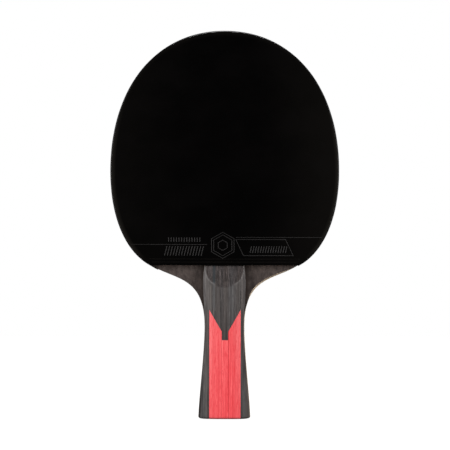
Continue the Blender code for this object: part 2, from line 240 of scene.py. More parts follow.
# Camera, lamps and floor.
CAMERA_LENS = 250.0
CAMERA_SENSOR = 36.0
CAMERA_SHIFT = (0.0008, -0.0006)
CAMERA_ROLL = math.radians(-0.1)
VIEW_WIDTH = 297.6 * MM  # what the camera sees across the paddle
CAMERA_DISTANCE = VIEW_WIDTH * CAMERA_LENS / CAMERA_SENSOR
CENTRE = (cad_box[0] + cad_box[1]) / 2
LAMPS = (  # name, azimuth, elevation, distance, width, height and power
    ("front_left", -64, 8, 1.3, 0.5, 1.1, 22.4),
    ("front_right", 64, 8, 1.3, 0.5, 1.1, 20.6),
    ("back", 180, 50, 1.3, 0.6, 0.7, 24.0),
    ("overhead", 0, 75, 1.4, 1.2, 1.0, 8.0),
)
WORLD_GLOW = 0.03  # what everything but the camera sees
FLOOR_RADIUS = 1.6
FLOOR_GAP = 0.1 * MM
FLOOR_GREY = (0.06, 0.06, 0.06, 1)
FLOOR_GLOW = 0.96


def blend(low, high, value):
    """0 below low, 1 above high, and a smooth rise between them."""
    t = min(1.0, max(0.0, (value - low) / (high - low)))
    return t * t * (3 - 2 * t)


# -------- outlines


def right_edge(node):
    """(x, z) of a node's outermost points on its right side, top down, where it meets the blade."""
    points = [vertex.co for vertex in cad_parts[node].data.vertices if vertex.co.x > -CLOSE]
    near = min(abs(point.y) for point in points)
    widest = {}
    for point in points:
        if abs(point.y) - near < CLOSE:
            z = round(point.z, 6)
            widest[z] = max(point.x, widest.get(z, 0))
    return [(widest[z], z) for z in sorted(widest, reverse=True)]


def smooth_curve(points, step, mirrored_start=False):
    """A finer curve through the points. It may start as the middle of a shape that is mirrored in x."""
    first = (-points[1][0], points[1][1]) if mirrored_start else past(points[1], points[0])
    knots = [Vector(p) for p in [first, *points, past(points[-2], points[-1])]]
    fine = [tuple(knots[1])]
    for before, start, end, after in zip(knots, knots[1:], knots[2:], knots[3:]):
        pieces = max(1, math.ceil((end - start).length / step))
        slopes = curve_slopes(before, start, end, after)
        for i in range(1, pieces + 1):
            fine.append(tuple(hermite(start, end, *slopes, i / pieces)))
    return fine


def past(start, end):
    """The point as far beyond end as start is before it."""
    return (2 * end[0] - start[0], 2 * end[1] - start[1])


def curve_slopes(before, start, end, after):
    """Slopes at start and end of a curve through four unevenly spaced points."""
    gap_0 = (start - before).length
    gap_1 = (end - start).length
    gap_2 = (after - end).length
    at_start = (start - before) / gap_0 - (end - before) / (gap_0 + gap_1) + (end - start) / gap_1
    at_end = (end - start) / gap_1 - (after - start) / (gap_1 + gap_2) + (after - end) / gap_2
    return at_start * gap_1, at_end * gap_1


def hermite(start, end, slope_0, slope_1, t):
    """A point on the cubic with these ends and slopes."""
    rise = t * t * (3 - 2 * t)
    lead = t * (1 - t) ** 2
    lag = t * t * (t - 1)
    return start * (1 - rise) + end * rise + slope_0 * lead + slope_1 * lag


def butt_rounding():
    """(how far in, height) down the butt's rounded edge, after its top."""
    pairs = []
    for step in range(1, ROUNDING_STEPS + 1):
        angle = math.pi / 2 * step / ROUNDING_STEPS
        pairs.append((BUTT_ROUND_IN * (1 - math.cos(angle)), BUTT_ROUND_UP * (1 - math.sin(angle))))
    return pairs


def tape_tail(hand):
    """Height where the edge tape ends on one side."""
    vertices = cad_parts["edge_tape"].data.vertices
    return min(vertex.co.z for vertex in vertices if (vertex.co.x > 0) == (hand == "right"))


BLADE_EDGE = right_edge("core_ply")
HEAD_EDGE = right_edge("sponge_front")
STRIP_EDGE = right_edge("front_outer_strip_right")
HANDLE_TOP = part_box("front_top_block")[1].z
BLADE_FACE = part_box("face_ply_back")[1].y
HANDLE_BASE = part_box("back_top_block")[0].y
BUTT_HALF_WIDTH = max(x for x, z in BLADE_EDGE if z < HANDLE_TOP / 2)
BUTT_ROUND_UP = min(z for x, z in BLADE_EDGE if x == BUTT_HALF_WIDTH)
BUTT_ROUND_IN = BUTT_HALF_WIDTH - BLADE_EDGE[-1][0]
BUTT_HALF_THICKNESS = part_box("back_red_centre_strip")[1].y
TAPE_TAILS = {hand: tape_tail(hand) for hand, _ in HANDS}


def bare_curve(edge):
    """The fine right edge down to where the butt's rounding starts."""
    points = [(x, z) for x, z in edge if z >= BUTT_ROUND_UP - CLOSE]
    return smooth_curve(points, OUTLINE_STEP, edge[0][0] < MM)


def closed_outline(right_half):
    """Right half, then its mirror image, as one closed outline of (x, z)."""
    return right_half + [(-x, z) for x, z in reversed(right_half) if x > CLOSE]


def outline_normals(outline):
    """The outward direction at each point of a closed outline that runs clockwise."""
    normals = []
    for i, (x, z) in enumerate(outline):
        x0, z0 = outline[i - 1]
        x1, z1 = outline[(i + 1) % len(outline)]
        before = Vector((z0 - z, x - x0)).normalized()
        after = Vector((z - z1, x1 - x)).normalized()
        middle = (before + after).normalized()
        normals.append(middle / max(OUTLINE_MITRE, middle.dot(after)))
    return normals


def shifted(outline, distances):
    """The outline moved outwards by a distance, or by one for each point."""
    if isinstance(distances, float):
        distances = [distances] * len(outline)
    moved = []
    for (x, z), normal, distance in zip(outline, outline_normals(outline), distances):
        moved.append((x + normal[0] * distance, z + normal[1] * distance))
    return moved


def blade_outline():
    """The whole blade, from the top of the head round the butt."""
    butt = [(BUTT_HALF_WIDTH - inset, z) for inset, z in butt_rounding()]
    return closed_outline(bare_curve(BLADE_EDGE) + butt)


def head_outline():
    """The head as far down as the rubber reaches."""
    return closed_outline(smooth_curve(HEAD_EDGE, OUTLINE_STEP, True))


# -------- handle shape


HANDLE_CURVE = list(reversed(bare_curve(STRIP_EDGE)))


def half_width(z):
    """The handle's half width and how far the butt's rounding takes it in, at a height."""
    if z < BUTT_ROUND_UP:
        drop = (BUTT_ROUND_UP - z) / BUTT_ROUND_UP
        return HANDLE_CURVE[0][0], BUTT_ROUND_IN * (1 - math.sqrt(max(0, 1 - drop * drop)))
    for (x0, z0), (x1, z1) in zip(HANDLE_CURVE, HANDLE_CURVE[1:]):
        if z <= z1:
            return x0 + (x1 - x0) * (z - z0) / (z1 - z0), 0
    return HANDLE_CURVE[-1][0], 0


def crown(x, z, hand_sanding=0):
    """Height of the crowned handle above the middle of the blade, without the scoop."""
    width, inset = half_width(z)
    height = BUTT_HALF_THICKNESS - THICKNESS_PER_WIDTH * (BUTT_HALF_WIDTH - width) - inset
    share = min(1.0, abs(x) / (width - inset - hand_sanding))
    return BLADE_FACE + (height - BLADE_FACE) * (1 - share**CROWN_POWER) ** (1 / CROWN_POWER)


def scoop_centre():
    """(z, y) of the axis of the thumb scoop, through its start on the crown and its end at the top."""
    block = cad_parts["back_top_block"].data.vertices
    end_height = max(vertex.co.y for vertex in block if vertex.co.z > HANDLE_TOP - CLOSE)
    grip = max(x for x, z in STRIP_EDGE if z > SCOOP_START_Z - SCOOP_RADIUS / 2)
    start = Vector((SCOOP_START_Z, BUTT_HALF_THICKNESS - THICKNESS_PER_WIDTH * (BUTT_HALF_WIDTH - grip)))
    end = Vector((HANDLE_TOP, end_height))
    chord = end - start
    square = chord.orthogonal().normalized()
    return (start + end) / 2 + square * math.sqrt(SCOOP_RADIUS**2 - chord.length_squared / 4)


SCOOP_CENTRE = scoop_centre()


def scoop(z):
    """Height of the scoop's arc, which is far above the crown below the scoop."""
    reach = SCOOP_RADIUS**2 - (z - SCOOP_CENTRE[0]) ** 2
    return SCOOP_CENTRE[1] - math.sqrt(max(0, reach))


def handle_height(x, z, hand_sanding=0):
    """(height of the finished handle, how far the scoop cut into the crown there)."""
    whole = crown(x, z, hand_sanding)
    arc = scoop(z)
    cut = whole - arc
    soft = max(0.0, 1 - abs(cut) / SCOOP_BLEND) ** 2 * SCOOP_BLEND / 4
    return min(whole, arc) - soft, cut


def scoop_darkness(x, cut):
    """How much darker a point in the scoop is. The darkening runs out softly below its middle."""
    run_out = DARKENING_RUN_OUT * (1 - blend(*DARKENING_MIDDLE, abs(x)))
    return blend(DARKENING_CUT[0] - run_out, DARKENING_CUT[1] - run_out / 4, cut)


def rim_highlight_weight(x, z):
    """How close a point is to the scoop's rim, where that rim is sharp enough to catch the light: the share
    of its painted highlight.
    """
    probe = MM / 20
    cut = crown(x, z) - scoop(z)
    across = (crown(x + probe, z) - crown(x - probe, z)) / (2 * probe)
    along = (crown(x, z + probe) - scoop(z + probe) - cut) / probe
    distance = abs(cut) / math.hypot(across, along)
    arm = blend(*RIM_ARMS, abs(x)) * RIM_HIGHLIGHT_SHARES["left" if x < 0 else "right"]
    return math.exp(-((distance / RIM_SOFTNESS) ** 2)) * arm


# -------- pieces


def finish_piece(node, bm, materials):
    """Makes a bmesh the finished piece that stands for a CAD node."""
    bmesh.ops.remove_doubles(bm, verts=bm.verts, dist=WELD_GAP)
    bmesh.ops.recalc_face_normals(bm, faces=bm.faces)
    mesh = bpy.data.meshes.new(f"{node}_finished")
    bm.to_mesh(mesh)
    bm.free()
    for material in materials:
        mesh.materials.append(material)
    mesh.shade_smooth()
    mesh.set_sharp_from_angle(angle=SHARP_ANGLE)
    piece = bpy.data.objects.new(f"{node}_finished", mesh)
    bpy.context.scene.collection.objects.link(piece)
    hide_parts(node)
    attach(piece, "root")
    return piece


def bridge(bm, loops):
    """Closes a body through loops of vertices, with flat ends."""
    for lower, upper in zip(loops, loops[1:]):
        for i in range(len(lower)):
            j = (i + 1) % len(lower)
            bm.faces.new((lower[i], lower[j], upper[j], upper[i]))
    bm.faces.new(loops[0])
    bm.faces.new(loops[-1])


def stack(bm, rings):
    """A closed body through rings of (outline, y)."""
    bridge(bm, [[bm.verts.new((x, y, z)) for x, z in outline] for outline, y in rings])
    return bm


def sanding(x, z):
    """How far the sanding takes in the blade's outermost face at a point of its edge."""
    hand = "right" if x > 0 else "left"
    tail = TAPE_TAILS[hand]
    shoulder = blend(*SHOULDER_START, z) * (1 - blend(tail - TAPE_MARGIN, tail, z))
    handle = 1 - blend(*HANDLE_END, z)
    return SHOULDER_SANDING[hand] * shoulder + HANDLE_SANDING[hand] * handle


def ply(node, material, sign):
    """One ply of the blade, its edge sanded in a slope that starts at the core."""
    low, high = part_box(node)
    outline = blade_outline()
    sand = [sanding(x, z) for x, z in outline]
    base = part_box("core_ply")[1].y
    inner, outer = sorted((abs(low.y), abs(high.y)))
    rings = []
    for y in (inner, (inner + outer) / 2, outer):
        share = max(0.0, (y - base) / (BLADE_FACE - base))
        rings.append((shifted(outline, [-s * share for s in sand]), sign * y))
    finish_piece(node, stack(bmesh.new(), rings), [material])


def add_blade(looks):
    """The seven plies."""
    low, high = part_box("core_ply")
    outline = blade_outline()
    core = stack(bmesh.new(), [(outline, low.y), (outline, high.y)])
    finish_piece("core_ply", core, [looks["core_wood"]])
    slots = {"inner_ply": "inner_wood", "fibre_ply": "fibre", "face_ply": "face_wood"}
    for side, sign in SIDES:
        for layer in LAYERS:
            ply(f"{layer}_{side}", looks[slots[layer]], sign)


def add_sponges(looks):
    """A sheet of foam under each rubber."""
    outline = head_outline()
    for side, _ in SIDES:
        low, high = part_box(f"sponge_{side}")
        soft = SPONGE_SOFTNESS
        rings = [
            (shifted(outline, -soft), low.y),
            (outline, low.y + soft),
            (shifted(outline, -soft / 2), (low.y + high.y) / 2),
            (outline, high.y - soft),
            (shifted(outline, -soft), high.y),
        ]
        sponge = finish_piece(f"sponge_{side}", stack(bmesh.new(), rings), [looks["sponge"]])


def add_pimples(bm, inner, outer):
    """Rows of pimples that show between the top sheet and the sponge along the straight lower edge."""
    low_z = HEAD_EDGE[-1][1]
    for row in range(PIMPLE_ROWS):
        z = low_z + PIMPLE_INSET + row * ROW_PITCH
        reach = HEAD_EDGE[-1][0] - PIMPLE_PITCH
        count = int(reach / PIMPLE_PITCH)
        for i in range(-count, count + row % 2):
            x = (i + row % 2 / 2) * PIMPLE_PITCH
            ring = circle(x, z, PIMPLE_RADIUS, PIMPLE_SIDES)
            stack(bm, [(ring, inner), (ring, outer)])


def circle(x, z, radius, sides):
    """A closed ring of points round (x, z)."""
    turns = [2 * math.pi * i / sides for i in range(sides)]
    return [(x + radius * math.sin(turn), z + radius * math.cos(turn)) for turn in turns]


def top_sheet(side, sign, materials):
    """A rubber top sheet: a plate with a soft rim, pimples under its lower edge and raised marks on it."""
    node = f"topsheet_{side}"
    low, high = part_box(node)
    inner, outer = sorted((abs(low.y), abs(high.y)))
    plate = outer - PLATE_THICKNESS
    outline = head_outline()
    bed = [(x, max(z, HEAD_EDGE[-1][1] + BED_RISE)) for x, z in outline]
    rings = [(bed, sign * inner), (bed, sign * plate), (outline, sign * plate)]
    for step in range(RIM_STEPS + 1):
        angle = math.pi / 2 * step / RIM_STEPS
        inset = RIM_RADIUS * (1 - math.cos(angle))
        rings.append((shifted(outline, -inset), sign * (outer - RIM_RADIUS * (1 - math.sin(angle)))))
    sheen_shares = [1.0] * len(rings)
    for inset, share in SHEEN_RINGS:
        rings.append((shifted(outline, -inset), sign * outer))
        sheen_shares.append(share)
    bm = stack(bmesh.new(), rings)
    paint_sheen(bm, sheen_shares, len(outline))
    add_pimples(bm, sign * inner, sign * (plate + MARK_SINK))
    first_rule = len(bm.faces)
    add_faint_rules(bm, sign, outer)
    first_mark = len(bm.faces)
    add_marks(bm, sign, outer)
    bm.faces.ensure_lookup_table()
    for face in bm.faces[first_mark:]:
        face.material_index = 1
    for face in bm.faces[first_rule:first_mark]:
        face.material_index = 2
    finish_piece(node, bm, materials)


def paint_sheen(bm, shares, count):
    """Paints a top sheet's painted sheen, a share for each ring of count vertices, less low down and at the
    top.
    """
    painted_sheen = bm.verts.layers.float.new("painted_sheen")
    low_z = HEAD_EDGE[-1][1]
    bm.verts.ensure_lookup_table()
    for i, vertex in enumerate(bm.verts):
        foot = blend(low_z, low_z + SHEEN_FOOT, vertex.co.z)
        top = 1 - SHEEN_TOP_LOSS * blend(*SHEEN_TOP, vertex.co.z)
        vertex[painted_sheen] = shares[i // count] * foot * top


def raised_line(bm, points, sign, outer, closed=False, width=LINE_WIDTH):
    """A low raised line with sloping sides along points of (x, z)."""
    rows = []
    count = len(points)
    for i, point in enumerate(points):
        before = points[i - 1] if closed or i else past(points[1], points[0])
        after = points[(i + 1) % count] if closed or i < count - 1 else past(points[-2], points[-1])
        into = Vector((point[0] - before[0], point[1] - before[1])).normalized()
        out = Vector((after[0] - point[0], after[1] - point[1])).normalized()
        across = (into.orthogonal() + out.orthogonal()).normalized()
        across /= max(LINE_MITRE, across.dot(into.orthogonal()))
        row = []
        for share, y in MARK_PROFILE:
            x = point[0] + across.x * share * width / 2
            z = point[1] + across.y * share * width / 2
            row.append(bm.verts.new((x, sign * (outer + y), z)))
        rows.append(row)
    pairs = list(zip(rows, rows[1:])) + ([(rows[-1], rows[0])] if closed else [])
    for row, after in pairs:
        for i in range(len(row)):
            j = (i + 1) % len(row)
            bm.faces.new((row[i], row[j], after[j], after[i]))
    if not closed:
        bm.faces.new(rows[0])
        bm.faces.new(rows[-1])


def edge_x(z, margin):
    """How far out a mark may reach at a height on the head."""
    for (x0, z0), (x1, z1) in zip(HEAD_EDGE, HEAD_EDGE[1:]):
        if z1 <= z <= z0:
            return x0 + (x1 - x0) * (z0 - z) / (z0 - z1) - margin
    return HEAD_EDGE[-1][0] - margin


def add_marks(bm, sign, outer):
    """The band over the handle: two rules, a leaning frame, rows of bars and a six-sided badge."""
    start = HEAD_EDGE[-1][1] + BAND_RISE

    def line(points, closed=False, width=LINE_WIDTH):
        raised_line(bm, [(-sign * x, start + rise) for x, rise in points], sign, outer, closed, width)

    for hand, inner_end, rise in RULES:
        ends = sorted((hand * inner_end, hand * edge_x(start + rise, RULE_MARGIN)))
        line([(x, rise) for x in ends], width=RULE_WIDTH)
    left, right = FRAME_SIDES
    foot, top = FRAME_HEIGHTS
    line([(right, foot), (left, foot), (left + FRAME_LEAN, top), (right + FRAME_LEAN, top)], True)
    for radius in BADGE_RADII:
        line(circle(*BADGE_PLACE, radius, BADGE_SIDES), True)
    for left, right, rise, length, count, lean in BAR_ROWS:
        for i in range(count):
            x = left + (right - left) * (i + 0.5) / count
            line([(x, rise), (x + lean * length, rise + length)], width=BAR_WIDTH)


def add_faint_rules(bm, sign, outer):
    """Two rules that hardly show, close to the rubber's lower edge."""
    start = HEAD_EDGE[-1][1]
    for rise, reach in FAINT_RULES:
        raised_line(bm, [(-reach, start + rise), (reach, start + rise)], sign, outer, width=LINE_WIDTH)


def add_rubbers(looks):
    """The black sheet in front and the red one behind."""
    for side, sign in SIDES:
        slot = "black_rubber" if side == "front" else "red_rubber"
        top_sheet(side, sign, [looks[slot], looks[f"{slot}_marks"], looks[f"{slot}_rules"]])


def tape_half_width(z):
    """Half the tape's width: wide on the head, and cut to the blade's own thickness below the rubber."""
    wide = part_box("edge_tape")[1].y
    corner_z, tail_z = HEAD_EDGE[-1][1], BLADE_EDGE[len(HEAD_EDGE)][1]
    share = min(1.0, max(0.0, (corner_z - z) / (corner_z - tail_z)))
    return wide + (BLADE_FACE - wide) * share


def tape_profile(thickness):
    """Half a turn round the tape's section, as (share of its half width, distance out from the blade)."""
    profile = [(-1, TAPE_GLUE), (-1, thickness - TAPE_ROUNDING)]
    for i in range(TAPE_COLUMNS + 1):
        profile.append(((1 - TAPE_EDGE) * (2 * i / TAPE_COLUMNS - 1), thickness))
    return profile + [(1, thickness - TAPE_ROUNDING), (1, TAPE_GLUE)]


def add_tape(looks):
    """The edge tape: a soft band that follows the head and lies a little unevenly."""
    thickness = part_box("edge_tape")[1].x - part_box("core_ply")[1].x
    edge = bare_curve(BLADE_EDGE)
    left = [(-x, z) for x, z in reversed(edge[1:]) if z >= TAPE_TAILS["left"]]
    path = left + [(x, z) for x, z in edge if z >= TAPE_TAILS["right"]]
    normals = outline_normals(path)
    normals[0], normals[-1] = normals[1], normals[-2]
    profile = tape_profile(thickness)
    bm = bmesh.new()
    loops = []
    travelled = 0
    for i, ((x, z), normal) in enumerate(zip(path, normals)):
        travelled += math.dist(path[i - 1], (x, z)) if i else 0
        half = tape_half_width(z) + TAPE_WANDER * (math.sin(travelled / TAPE_WANDER_LENGTH) - 1)
        loop = []
        for share, out in profile:
            waves = sum(1 + math.sin(travelled / length + slant * share) for length, slant in TAPE_RIPPLES)
            reach = out - (TAPE_SAG * waves if out > TAPE_ROUNDING else 0)
            loop.append(bm.verts.new((x + normal[0] * reach, share * half, z + normal[1] * reach)))
        loops.append(loop)
    bridge(bm, loops)
    finish_piece("edge_tape", bm, [looks["edge_tape"]])


# -------- handle strips


def row_heights(start, end, corners):
    """Heights of a strip's rows, close together on the butt's rounding and in the scoop."""
    heights = {start, end}
    heights.update(z for _, z in butt_rounding())
    heights.update(corners)
    z = BUTT_ROUND_UP
    while z < end:
        heights.add(z)
        z += ROW_STEP if z < SCOOP_START_Z - SCOOP_MARGIN else SCOOP_ROW_STEP
    kept = sorted(z for z in heights if start <= z <= end)
    return [z for i, z in enumerate(kept) if i == 0 or z - kept[i - 1] > CLOSE]


def inlay_edges():
    """The inlay's measures, read from its packed strips: middle, half width, V and stem."""
    block_low, block_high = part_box("front_top_block")
    stem_low, stem_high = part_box("front_red_centre_strip")
    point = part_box("front_red_strip_left")[1].z
    return {
        "middle": (block_low.x + block_high.x) / 2,
        "half": (block_high.x - block_low.x) / 2,
        "stem": (stem_high.x - stem_low.x) / 2,
        "foot": stem_high.z,
        "point": point,
        "stem_top": stem_top(stem_high.x, point),
    }


def stem_top(stem_x, point):
    """Height where the stem starts to widen into the V, which is below the V's point."""
    block = [vertex.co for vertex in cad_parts["front_top_block"].data.vertices]
    return max(co.z for co in block if abs(co.x - stem_x) < JOINT_GAP + CLOSE and co.z < point)


INLAY = inlay_edges()


def v_half_width(z):
    """Half width of the dark block at a height: the stem, its ease, the V and then the full panel."""
    stem, top, point, full = INLAY["stem"], INLAY["stem_top"], INLAY["point"], INLAY["half"]
    if z <= top:
        return stem
    if z >= point:
        return full
    ease_z = top + STEM_EASE_RISE
    if z <= ease_z:
        return stem + STEM_EASE * (z - top) / STEM_EASE_RISE
    return stem + STEM_EASE + (full - stem - STEM_EASE) * (z - ease_z) / (point - ease_z)


def inner_columns(low, high, count):
    """Places across an inlaid strip, with a small chamfer at both joints, as (x, drop)."""
    low += JOINT_GAP / 2
    high -= JOINT_GAP / 2
    chamfer = min(JOINT_CHAMFER, (high - low) / 4)
    columns = [(low, chamfer)]
    for i in range(count + 1):
        columns.append((low + chamfer + (high - low - 2 * chamfer) * i / count, 0))
    return columns + [(high, chamfer)]


def outer_columns(start, width, count, hand):
    """Places across an outer strip, from its joint out to the blade's edge, closer where it turns down."""
    start = abs(start) + JOINT_GAP / 2
    first = start + JOINT_CHAMFER
    whole = math.acos((first / width) ** (CROWN_POWER / 2))
    columns = [(hand * start, JOINT_CHAMFER)]
    for i in range(count + 1):
        angle = whole * (1 - i / count) ** EDGE_CROWDING
        columns.append((hand * width * math.cos(angle) ** (2 / CROWN_POWER), 0))
    return columns


def strip_rows(strip, hand, sand, start, end):
    """Rows of (x, drop) columns for one strip, as (z, columns)."""
    middle = INLAY["middle"]
    count = STRIP_COLUMNS[strip]
    corners = (INLAY["foot"], INLAY["stem_top"], INLAY["stem_top"] + STEM_EASE_RISE, INLAY["point"])
    rows = []
    for z in row_heights(start, end, corners):
        v = v_half_width(z)
        if strip == "top_block":
            columns = inner_columns(middle - v, middle + v, count)
        elif strip == "red_centre_strip":
            columns = inner_columns(middle - INLAY["stem"], middle + INLAY["stem"], count)
        elif strip == "red_strip":
            inner = INLAY["stem"] if z < INLAY["foot"] else v
            ends = sorted((middle + hand * inner, middle + hand * INLAY["half"]))
            columns = inner_columns(*ends, count)
        else:
            width, inset = half_width(z)
            columns = outer_columns(middle + hand * INLAY["half"], width - inset - sand, count, hand)
        rows.append((z, columns))
    return rows


def handle_strip(side, sign, name, strip, hand, looks):
    """One strip of the handle's side, crowned, scooped and flat where it is glued to the blade."""
    node = f"{side}_{name}"
    low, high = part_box(node)
    end = high.z - (POINT_CUT if strip == "red_strip" else 0)
    sand = HANDLE_SANDING["right" if hand > 0 else "left"] if strip == "outer_strip" else 0
    bm = bmesh.new()
    scooped = bm.verts.layers.float.new("scooped")
    rim_highlight = bm.verts.layers.float.new("rim_highlight")
    loops = []
    for z, columns in strip_rows(strip, hand, sand, low.z, end):
        loop = [bm.verts.new((columns[0][0], sign * HANDLE_BASE, z))]
        for x, drop in columns:
            height, cut = handle_height(x, z, sand)
            vertex = bm.verts.new((x, sign * max(HANDLE_BASE, height - drop), z))
            vertex[scooped] = scoop_darkness(x, cut)
            vertex[rim_highlight] = rim_highlight_weight(x, z) if z > SCOOP_START_Z - RIM_MARGIN else 0
            loop.append(vertex)
        loop.append(bm.verts.new((columns[-1][0], sign * HANDLE_BASE, z)))
        loops.append(loop)
    bridge(bm, loops)
    slot = "red_handle_wood" if strip.startswith("red") else "dark_handle_wood"
    finish_piece(node, bm, [looks[f"{slot}_{side}_{name}"]])


def add_handle(looks):
    """The six strips on each face."""
    for side, sign in SIDES:
        for strip in ("top_block", "red_centre_strip"):
            handle_strip(side, sign, strip, strip, 0, looks)
        for name, hand in HANDS:
            for strip in ("red_strip", "outer_strip"):
                handle_strip(side, sign, f"{strip}_{name}", strip, hand, looks)


# -------- materials


class Look:
    """A node material in the making, with short calls for the nodes it needs."""

    def __init__(self, name, roughness, specular):
        self.material = bpy.data.materials.new(name)
        self.material.use_nodes = True
        self.tree = self.material.node_tree
        self.surface = self.tree.nodes["Principled BSDF"]
        self.surface.inputs["Roughness"].default_value = roughness
        self.surface.inputs["Specular IOR Level"].default_value = specular
        self.place = self.add("TexCoord").outputs["Object"]

    def add(self, kind, inputs=None, **settings):
        """A node with its settings, and its inputs linked or set."""
        node = self.tree.nodes.new(f"ShaderNode{kind}")
        for name, value in settings.items():
            setattr(node, name, value)
        for key, value in (inputs or {}).items():
            self.feed(node.inputs[key], value)
        return node

    def feed(self, socket, value):
        """Links an output to a socket, or sets the socket's own value."""
        if isinstance(value, bpy.types.NodeSocket):
            self.tree.links.new(value, socket)
        else:
            socket.default_value = value

    def stretched(self, scale, shift=0.0):
        """Object coordinates scaled along each axis, in repeats for each metre."""
        inputs = {"Vector": self.place, "Scale": scale, "Location": [shift * way for way in SHIFT_WAYS]}
        return self.add("Mapping", inputs).outputs["Vector"]

    def noise(self, scale, detail=2.0, shift=0.0, rough=0.5):
        """Noise that is stretched along the axes with a low scale."""
        inputs = {"Vector": self.stretched(scale, shift), "Scale": 1.0, "Detail": detail, "Roughness": rough}
        return self.add("TexNoise", inputs).outputs["Fac"]

    def spread(self, value, low, high, to_low=0.0, to_high=1.0, smooth=True):
        """Maps low..high to another range and holds the ends."""
        kind = "SMOOTHSTEP" if smooth else "LINEAR"
        inputs = {"Value": value, "From Min": low, "From Max": high, "To Min": to_low, "To Max": to_high}
        return self.add("MapRange", inputs, interpolation_type=kind).outputs["Result"]

    def math(self, operation, first, second=0.0):
        """One sum on numbers or outputs."""
        return self.add("Math", {0: first, 1: second}, operation=operation).outputs["Value"]

    def mix(self, share, first, second, kind="MIX"):
        """Two colours mixed. A Mix node takes them at sockets 6 and 7, and gives the result at 2."""
        node = self.add("Mix", data_type="RGBA", blend_type=kind, clamp_result=False)
        self.feed(node.inputs[0], share)
        for index, colour in ((6, first), (7, second)):
            linked = isinstance(colour, bpy.types.NodeSocket)
            self.feed(node.inputs[index], colour if linked else (*colour, 1))
        return node.outputs[2]

    def axis(self, name):
        """One object coordinate, in metres."""
        return self.add("SeparateXYZ", {0: self.place}).outputs[name]

    def painted(self, name):
        """A number that the mesh carries at each point."""
        return self.add("Attribute", attribute_name=name).outputs["Fac"]

    def band(self, value, centre, half, soft):
        """1 within half of centre, falling to 0 over soft."""
        away = self.math("ABSOLUTE", self.math("SUBTRACT", value, centre))
        return self.spread(away, half, half + soft, 1.0, 0.0)

    def colour(self, value):
        self.feed(self.surface.inputs["Base Color"], value)

    def roughness(self, value):
        self.feed(self.surface.inputs["Roughness"], value)

    def bumps(self, *layers):
        """Bump from (height, strength, depth) layers, one on the other."""
        normal = None
        for height, strength, depth in layers:
            node = self.add("Bump", {"Height": height, "Strength": strength, "Distance": depth})
            if normal is not None:
                self.feed(node.inputs["Normal"], normal)
            normal = node.outputs["Normal"]
        self.feed(self.surface.inputs["Normal"], normal)


def dyed_wood(name, colours, shift):
    """Thin dyed veneers glued side by side: layers lie across the handle and streaks run up it."""
    deep, usual, pale = colours
    look = Look(name, 0.6, 0.18)
    layers = look.noise((430, 60, 4), 1.0, shift)
    streaks = look.noise((1250, 420, 16), 4.0, shift + 3.1, 0.75)
    fibres = look.noise((2600, 2400, 110), 3.0, shift + 5.3, 0.7)
    pores = look.noise((3300, 3100, 300), 1.0, shift + 7.7)
    tone = look.math("ADD", look.math("MULTIPLY", layers, 0.35), look.math("MULTIPLY", streaks, 0.65))
    low = look.mix(look.spread(tone, 0.38, 0.5), deep, usual)
    colour = look.mix(look.spread(tone, 0.5, 0.62), low, pale)
    colour = look.mix(look.spread(fibres, 0.5, 0.68, 0.0, 0.5), colour, pale)
    colour = look.mix(look.spread(fibres, 0.34, 0.5, 0.45, 0.0), colour, deep)
    colour = look.mix(look.spread(pores, 0.58, 0.70, 0.0, 0.6), colour, deep)
    look.roughness(look.spread(streaks, 0.3, 0.7, 0.52, 0.66))
    look.bumps((streaks, 0.25, 0.06 * MM), (pores, 0.3, -0.04 * MM))
    return look, colour


